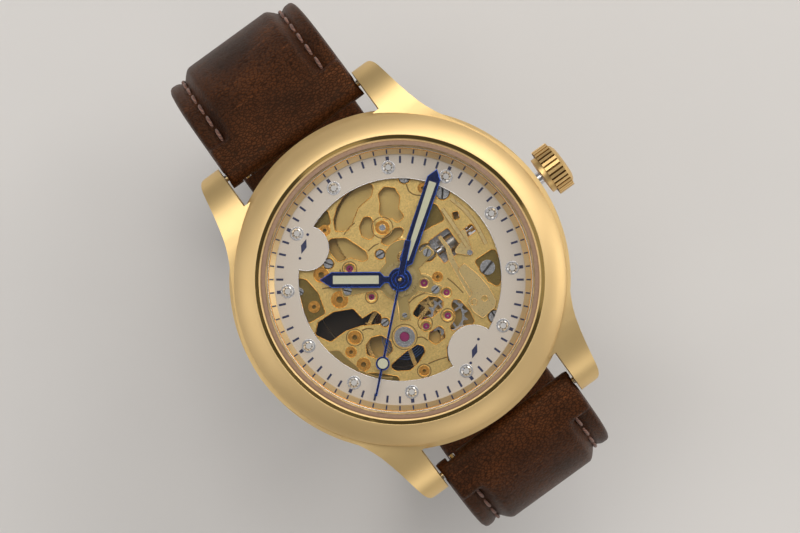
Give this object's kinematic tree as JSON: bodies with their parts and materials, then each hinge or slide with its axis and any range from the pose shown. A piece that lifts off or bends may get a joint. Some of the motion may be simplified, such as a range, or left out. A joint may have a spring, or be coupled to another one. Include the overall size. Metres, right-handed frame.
{
  "type": "skeleton wristwatch",
  "caption": "Self-winding skeleton wristwatch with an open dial over its gear train, a round pale-gold case, stone hour marks and a leather strap that hinges at the lugs.",
  "frame": {"origin": "centre of the case back's outer face", "axes": "+Z out through the dial, +Y to 12 o'clock, +X to the crown at 3 o'clock"},
  "size_m": [0.0449, 0.0695, 0.0603],
  "materials": {
    "gold_case": "satin and polished pale yellow gold plating",
    "gold_polished": "polished pale gold",
    "gold_plate": "matte gilt, grained",
    "gilt_wheel": "gilt brass wheel",
    "orange_gold": "polished countersink",
    "steel": "polished steel",
    "spring_steel": "tempered spring strip",
    "blue_spring": "blued spring",
    "clear_crystal": "clear domed crystal",
    "brown_gasket": "light brown seal",
    "dial_white": "warm white lacquered dial",
    "chapter_tan": "satin tan gold ring",
    "clear_stone": "clear round faceted stone",
    "ruby": "synthetic ruby",
    "blued_hand": "blued steel with cream lume",
    "dark_weight": "dark bronze-grey heavy metal, satin",
    "movement_grey": "movement holder ring",
    "leather_brown": "glossy dark brown leather"
  },
  "bodies": {
    "case": {"mid_case": "gold_case", "bezel": "gold_polished", "crystal": "clear_crystal", "gaskets": "brown_gasket", "chapter_ring": "chapter_tan", "dial": "dial_white", "stone_settings": "steel", "hour_stones": "clear_stone", "movement_ring": "movement_grey", "case_back": "gold_case", "back_crystal": "clear_crystal", "crown_tube": "steel", "spring_bars": "steel", "main_plate": "gold_plate", "barrel_bridge": "gold_plate", "train_bridge": "gold_plate", "balance_cock": "gold_plate", "pallet_bridge": "gold_plate", "motion_cover": "gold_plate", "setting_cover": "gold_plate", "hairspring": "blue_spring", "jewels": "ruby", "plate_bushes": "orange_gold", "shock_setting": "steel", "movement_screws": "steel", "rotor_bearing": "steel"},
    "winding_pinion": {"winding_pinion": "steel"},
    "crown": {"crown": "gold_polished", "winding_stem": "steel"},
    "clutch": {"sliding_clutch": "steel"},
    "crown_wheel": {"crown_wheel": "steel"},
    "ratchet": {"ratchet_wheel": "steel", "barrel_arbor": "steel"},
    "click": {"click": "steel"},
    "setting_lever": {"setting_lever": "gold_plate"},
    "yoke": {"yoke": "gold_plate"},
    "seconds": {"seconds_pinion": "steel", "seconds_hand": "blued_hand"},
    "fourth_wheel": {"fourth_wheel": "gilt_wheel"},
    "third_wheel": {"third_wheel": "gilt_wheel"},
    "centre_wheel": {"centre_wheel": "gilt_wheel", "cannon_pinion": "steel", "minute_hand": "blued_hand"},
    "hour_wheel": {"hour_wheel": "gilt_wheel", "hour_hand": "blued_hand"},
    "minute_wheel": {"minute_wheel": "gilt_wheel"},
    "setting_wheel": {"setting_wheel": "steel"},
    "escape_wheel": {"escape_wheel": "steel"},
    "barrel": {"barrel_drum": "gilt_wheel", "mainspring": "spring_steel"},
    "pallet": {"pallet_fork": "steel", "pallet_stones": "ruby"},
    "balance": {"balance_wheel": "gilt_wheel"},
    "rotor": {"rotor": "dark_weight"},
    "strap_short": {"strap_short": "leather_brown", "buckle_bar": "steel"},
    "strap_long": {"strap_long": "leather_brown"},
    "buckle": {"buckle_frame": "gold_polished"},
    "tang": {"buckle_tang": "gold_polished"},
    "keeper": {"free_keeper": "leather_brown"}
  },
  "joints": [
    {"name": "seconds_turn", "type": "hinge", "parent": "case", "child": "seconds", "pos_m": [0, 0, 0.0084], "axis": [0, 0, -1], "continuous": true},
    {"name": "fourth_turn", "type": "hinge", "parent": "case", "child": "fourth_wheel", "pos_m": [0.00362, -0.00456, 0.0045], "axis": [0, 0, -1], "continuous": true},
    {"name": "third_turn", "type": "hinge", "parent": "case", "child": "third_wheel", "pos_m": [0.0021, -0.00205, 0.0045], "axis": [0, 0, -1], "continuous": true},
    {"name": "minute_turn", "type": "hinge", "parent": "case", "child": "centre_wheel", "pos_m": [0, 0, 0.0081], "axis": [0, 0, -1], "continuous": true},
    {"name": "hour_turn", "type": "hinge", "parent": "case", "child": "hour_wheel", "pos_m": [0, 0, 0.0078], "axis": [0, 0, -1], "continuous": true},
    {"name": "minute_wheel_turn", "type": "hinge", "parent": "case", "child": "minute_wheel", "pos_m": [0.00185, 0.00195, 0.0064], "axis": [0, 0, -1], "continuous": true},
    {"name": "setting_wheel_turn", "type": "hinge", "parent": "case", "child": "setting_wheel", "pos_m": [0.00455, 0.00072, 0.0062], "axis": [0, 0, -1], "continuous": true},
    {"name": "escape_turn", "type": "hinge", "parent": "case", "child": "escape_wheel", "pos_m": [0.0021, -0.0069, 0.0045], "axis": [0, 0, -1], "continuous": true},
    {"name": "barrel_turn", "type": "hinge", "parent": "case", "child": "barrel", "pos_m": [0.00195, 0.0063, 0.0045], "axis": [0, 0, -1], "continuous": true},
    {"name": "pallet_rock", "type": "hinge", "parent": "case", "child": "pallet", "pos_m": [-0.00075, -0.0064, 0.005], "axis": [0, 0, -1], "range_deg": [-4, 4]},
    {"name": "balance_swing", "type": "hinge", "parent": "case", "child": "balance", "pos_m": [-0.0036, -0.0059, 0.004], "axis": [0, 0, -1], "range_deg": [-270, 270], "stiffness_Nm_per_rad": 0.0000006},
    {"name": "rotor_spin", "type": "hinge", "parent": "case", "child": "rotor", "pos_m": [0, 0, 0.002], "axis": [0, 0, -1], "continuous": true},
    {"name": "crown_turn", "type": "hinge", "parent": "case", "child": "winding_pinion", "pos_m": [0.00885, 0, 0.0052], "axis": [1, 0, 0], "continuous": true},
    {"name": "crown_pull", "type": "slide", "parent": "winding_pinion", "child": "crown", "axis": [1, 0, 0], "range_m": [0, 0.001]},
    {"name": "clutch_shift", "type": "slide", "parent": "winding_pinion", "child": "clutch", "axis": [1, 0, 0], "range_m": [-0.00061, 0]},
    {"name": "setting_lever_turn", "type": "hinge", "parent": "case", "child": "setting_lever", "pos_m": [0.0087, -0.0023, 0.0069], "axis": [0, 0, 1], "range_deg": [-23.2, 0]},
    {"name": "yoke_turn", "type": "hinge", "parent": "case", "child": "yoke", "pos_m": [0.0059, -0.0078, 0.0067], "axis": [0, 0, 1], "range_deg": [0, 4.5]},
    {"name": "crown_wheel_turn", "type": "hinge", "parent": "case", "child": "crown_wheel", "pos_m": [0.0066, 0, 0.0026], "axis": [0, 0, 1], "continuous": true},
    {"name": "ratchet_turn", "type": "hinge", "parent": "case", "child": "ratchet", "pos_m": [0.00195, 0.0063, 0.0026], "axis": [0, 0, 1], "continuous": true},
    {"name": "click_lift", "type": "hinge", "parent": "case", "child": "click", "pos_m": [-0.0051, 0.0072, 0.0026], "axis": [0, 0, -1], "range_deg": [0, 12], "stiffness_Nm_per_rad": 0.000001},
    {"name": "strap_short_swing", "type": "hinge", "parent": "case", "child": "strap_short", "pos_m": [0, 0.02225, 0.0034], "axis": [1, 0, 0], "range_deg": [0, 28]},
    {"name": "strap_long_swing", "type": "hinge", "parent": "case", "child": "strap_long", "pos_m": [0, -0.02225, 0.0034], "axis": [-1, 0, 0], "range_deg": [0, 50]},
    {"name": "buckle_fold", "type": "hinge", "parent": "strap_short", "child": "buckle", "pos_m": [0, -0.00262, -0.03052], "axis": [-1, 0, 0], "range_deg": [0, 60]},
    {"name": "tang_lift", "type": "hinge", "parent": "strap_short", "child": "tang", "pos_m": [0, -0.00262, -0.03052], "axis": [1, 0, 0], "range_deg": [0, 40]},
    {"name": "keeper_slide", "type": "slide", "parent": "strap_short", "child": "keeper", "axis": [0, 1, 0], "range_m": [0, 0.004]}
  ],
  "couplings": [
    {"joint": "fourth_turn", "follows": "seconds_turn", "ratio": 1},
    {"joint": "third_turn", "follows": "seconds_turn", "ratio": -0.13333},
    {"joint": "minute_turn", "follows": "seconds_turn", "ratio": 0.016667},
    {"joint": "hour_turn", "follows": "seconds_turn", "ratio": 0.0013889},
    {"joint": "minute_wheel_turn", "follows": "seconds_turn", "ratio": -0.0055556},
    {"joint": "setting_wheel_turn", "follows": "seconds_turn", "ratio": 0.011765},
    {"joint": "escape_turn", "follows": "seconds_turn", "ratio": -12},
    {"joint": "barrel_turn", "follows": "seconds_turn", "ratio": -0.002381},
    {"joint": "crown_wheel_turn", "follows": "crown_turn", "ratio": 0.52},
    {"joint": "ratchet_turn", "follows": "crown_turn", "ratio": -0.28261},
    {"joint": "clutch_shift", "follows": "crown_pull", "ratio": -0.6},
    {"joint": "setting_lever_turn", "follows": "crown_pull", "rad_per_m": -400},
    {"joint": "yoke_turn", "follows": "crown_pull", "rad_per_m": 76.9}
  ]
}
